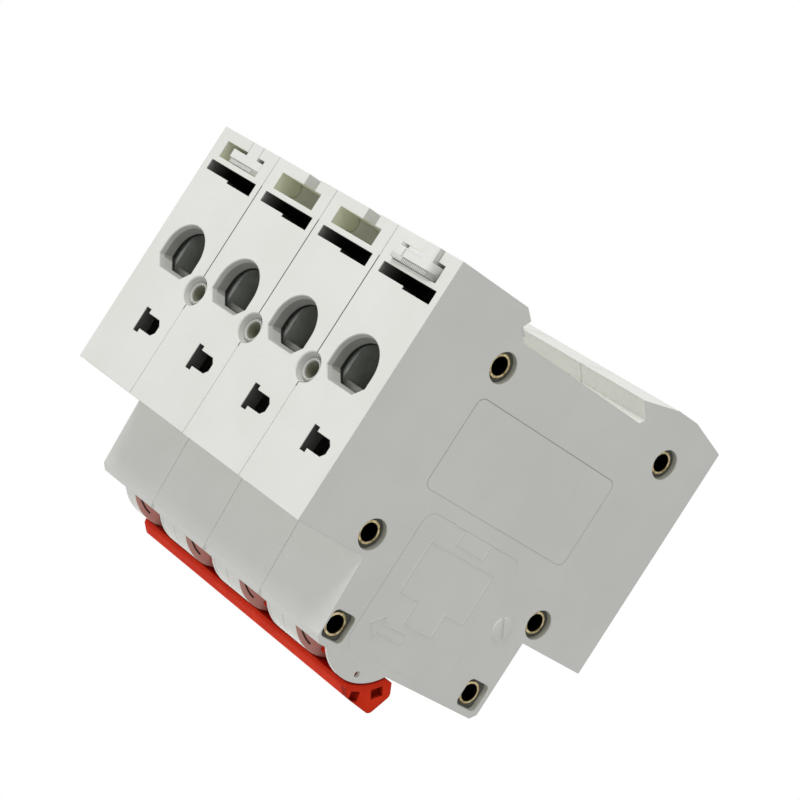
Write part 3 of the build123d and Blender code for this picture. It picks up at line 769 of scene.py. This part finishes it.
def build_lugs():
    """Round boss of the mould, split in two halves by a tilted gap."""
    halves = []
    for side in (-1, 1):
        half = cylinder_along_x(36, LUG_RADIUS, 2 * LUG_TALL)
        bpy.ops.object.mode_set(mode="EDIT")
        bpy.ops.mesh.select_all(action="SELECT")
        across = Vector((0, cos(radians(LUG_TILT)), sin(radians(LUG_TILT)))) * side
        bpy.ops.mesh.bisect(
            plane_co=across * LUG_GAP * MM, plane_no=across, use_fill=True, clear_inner=True
        )
        bpy.ops.mesh.select_all(action="SELECT")
        bpy.ops.mesh.bevel(offset=LUG_EASING * MM, segments=2, affect="EDGES")
        bpy.ops.object.mode_set(mode="OBJECT")
        half.location = (LEFT_SIDE * MM, LUG_PLACE[0] * MM, LUG_PLACE[1] * MM)
        halves.append(half)
    finish_piece(join_pieces(halves), "mould_lugs", finishes["base"], "housing")


def build_sign():
    """Plain sign for levering the clip away from the rail."""
    strokes = [(SIGN_RAIL, False), (SIGN_HOUSING, True), (SIGN_ARROW, True)]
    moulded_lines("lever_sign", strokes, SIGN_LINE)


build_lugs()
build_sign()


# Parting strips: the poles touch just under the surface at the lower front

STRIP_HALF, STRIP_EASING = 0.048, 0.01
# Depths from which and to which the strips reach, on the bottom face and under the nose
STRIP_FACE, STRIP_NOSE = (-43.6, -26.3), (-59.8, -43.8)
STRIP_NOSE_LOW, STRIP_NOSE_HIGH, STRIP_NOSE_RISE = -22.4, -21.2, 0.96


def build_parting_strips():
    """Narrow strips that close the gap between neighbouring poles."""
    strips = []
    for boundary in (-MODULE, 0.0, MODULE):
        low, high = boundary - STRIP_HALF, boundary + STRIP_HALF
        front, rear = STRIP_FACE
        ends = (low, front, BOTTOM + 0.06), (high, rear, BOTTOM + 1.0)
        strips.append(block(*ends, STRIP_EASING))
        front, rear = STRIP_NOSE
        nose = block((low, front, STRIP_NOSE_LOW), (high, rear, STRIP_NOSE_HIGH), STRIP_EASING)
        # Its front end follows the slope of the nose
        select_where(nose, "VERT", lambda p: p.y < -59.0)
        bpy.ops.transform.translate(value=(0, 0, STRIP_NOSE_RISE * MM))
        bpy.ops.object.mode_set(mode="OBJECT")
        strips.append(nose)
    strips = join_pieces(strips)
    finish_piece(strips, "parting_strips", finishes["base"], "housing")


build_parting_strips()


# Floor, light and camera

WHITE = colour(1.0, 1.0, 1.0)
# Camera as fitted to the photograph, in metres and as a quaternion
CAMERA_PLACE = (-0.3274475, -0.0143497, -0.3130352)
CAMERA_TURN = (-0.37898415, 0.2605948, 0.88163233, -0.10576297)
LENS, SENSOR = 112.74, 36.0
# What the lamps shine on
LIT_MIDDLE = (0, -0.027, 0)


def stage_floor(height):
    """Pale floor, seen from above only, so that light from below still reaches the breaker."""
    bpy.ops.object.select_all(action="DESELECT")
    bpy.ops.mesh.primitive_plane_add(size=4.0, location=(0, 0, height))
    floor = bpy.context.object
    floor.name = "floor"
    f = Finish("pale_floor", base_color=colour(0.82, 0.82, 0.81), roughness=0.7)
    clear = f.node("ShaderNodeBsdfTransparent", {}, {})
    back = f.node("ShaderNodeNewGeometry", {}, {}, "Backfacing")
    lit = Value(f, f.shader.outputs[0])
    both = f.node("ShaderNodeMixShader", {}, {0: back, 1: lit, 2: clear})
    f.tree.links.new(both.socket, f.tree.nodes["Material Output"].inputs["Surface"])
    floor.data.materials.append(f.material)
    floor.visible_shadow = False
    floor.visible_diffuse = False
    floor.visible_glossy = False


def world_light(strength):
    """Even pale light, and a white background for the camera and for reflections."""
    world = bpy.data.worlds.new("studio")
    bpy.context.scene.world = world
    world.use_nodes = True
    tree = world.node_tree
    even = tree.nodes["Background"]
    even.inputs["Color"].default_value = WHITE
    even.inputs["Strength"].default_value = strength
    white = tree.nodes.new("ShaderNodeBackground")
    white.inputs["Color"].default_value = WHITE
    white.inputs["Strength"].default_value = 1.0
    path = tree.nodes.new("ShaderNodeLightPath")
    seen = path.outputs["Is Camera Ray"]
    for ray in ("Is Glossy Ray", "Is Transmission Ray"):
        either = tree.nodes.new("ShaderNodeMath")
        either.operation = "MAXIMUM"
        tree.links.new(seen, either.inputs[0])
        tree.links.new(path.outputs[ray], either.inputs[1])
        seen = either.outputs[0]
    mix = tree.nodes.new("ShaderNodeMixShader")
    tree.links.new(seen, mix.inputs[0])
    tree.links.new(even.outputs[0], mix.inputs[1])
    tree.links.new(white.outputs[0], mix.inputs[2])
    tree.links.new(mix.outputs[0], tree.nodes["World Output"].inputs["Surface"])


def soft_lamp(name, towards, away, size, power):
    """Square soft lamp that shines on the breaker from a direction, away metres from it."""
    light = bpy.data.lights.new(name, "AREA")
    light.shape = "SQUARE"
    light.size = size
    light.energy = power
    lamp = bpy.data.objects.new(name, light)
    bpy.context.scene.collection.objects.link(lamp)
    direction = Vector(towards).normalized()
    lamp.location = Vector(LIT_MIDDLE) + direction * away
    lamp.rotation_euler = direction.to_track_quat("Z", "Y").to_euler()


def photo_camera():
    """Camera as fitted to the photograph, low and to the left of the breaker."""
    camera = bpy.data.objects.new("camera", bpy.data.cameras.new("camera"))
    bpy.context.scene.collection.objects.link(camera)
    camera.data.sensor_width = SENSOR
    camera.data.lens = LENS
    camera.data.clip_start = 0.01
    camera.location = CAMERA_PLACE
    camera.rotation_mode = "QUATERNION"
    camera.rotation_quaternion = CAMERA_TURN
    bpy.context.scene.camera = camera


stage_floor(cad_low.z)
world_light(0.5)
soft_lamp("key", (-0.05, 0.72, -0.62), away=0.8, size=0.5, power=3.6)
soft_lamp("fill", (-0.1, -0.62, -0.62), away=0.9, size=0.7, power=1.3)
soft_lamp("above", (0.35, -0.55, 0.85), away=0.9, size=0.6, power=4.4)
photo_camera()
bpy.context.scene.view_settings.view_transform = "Standard"
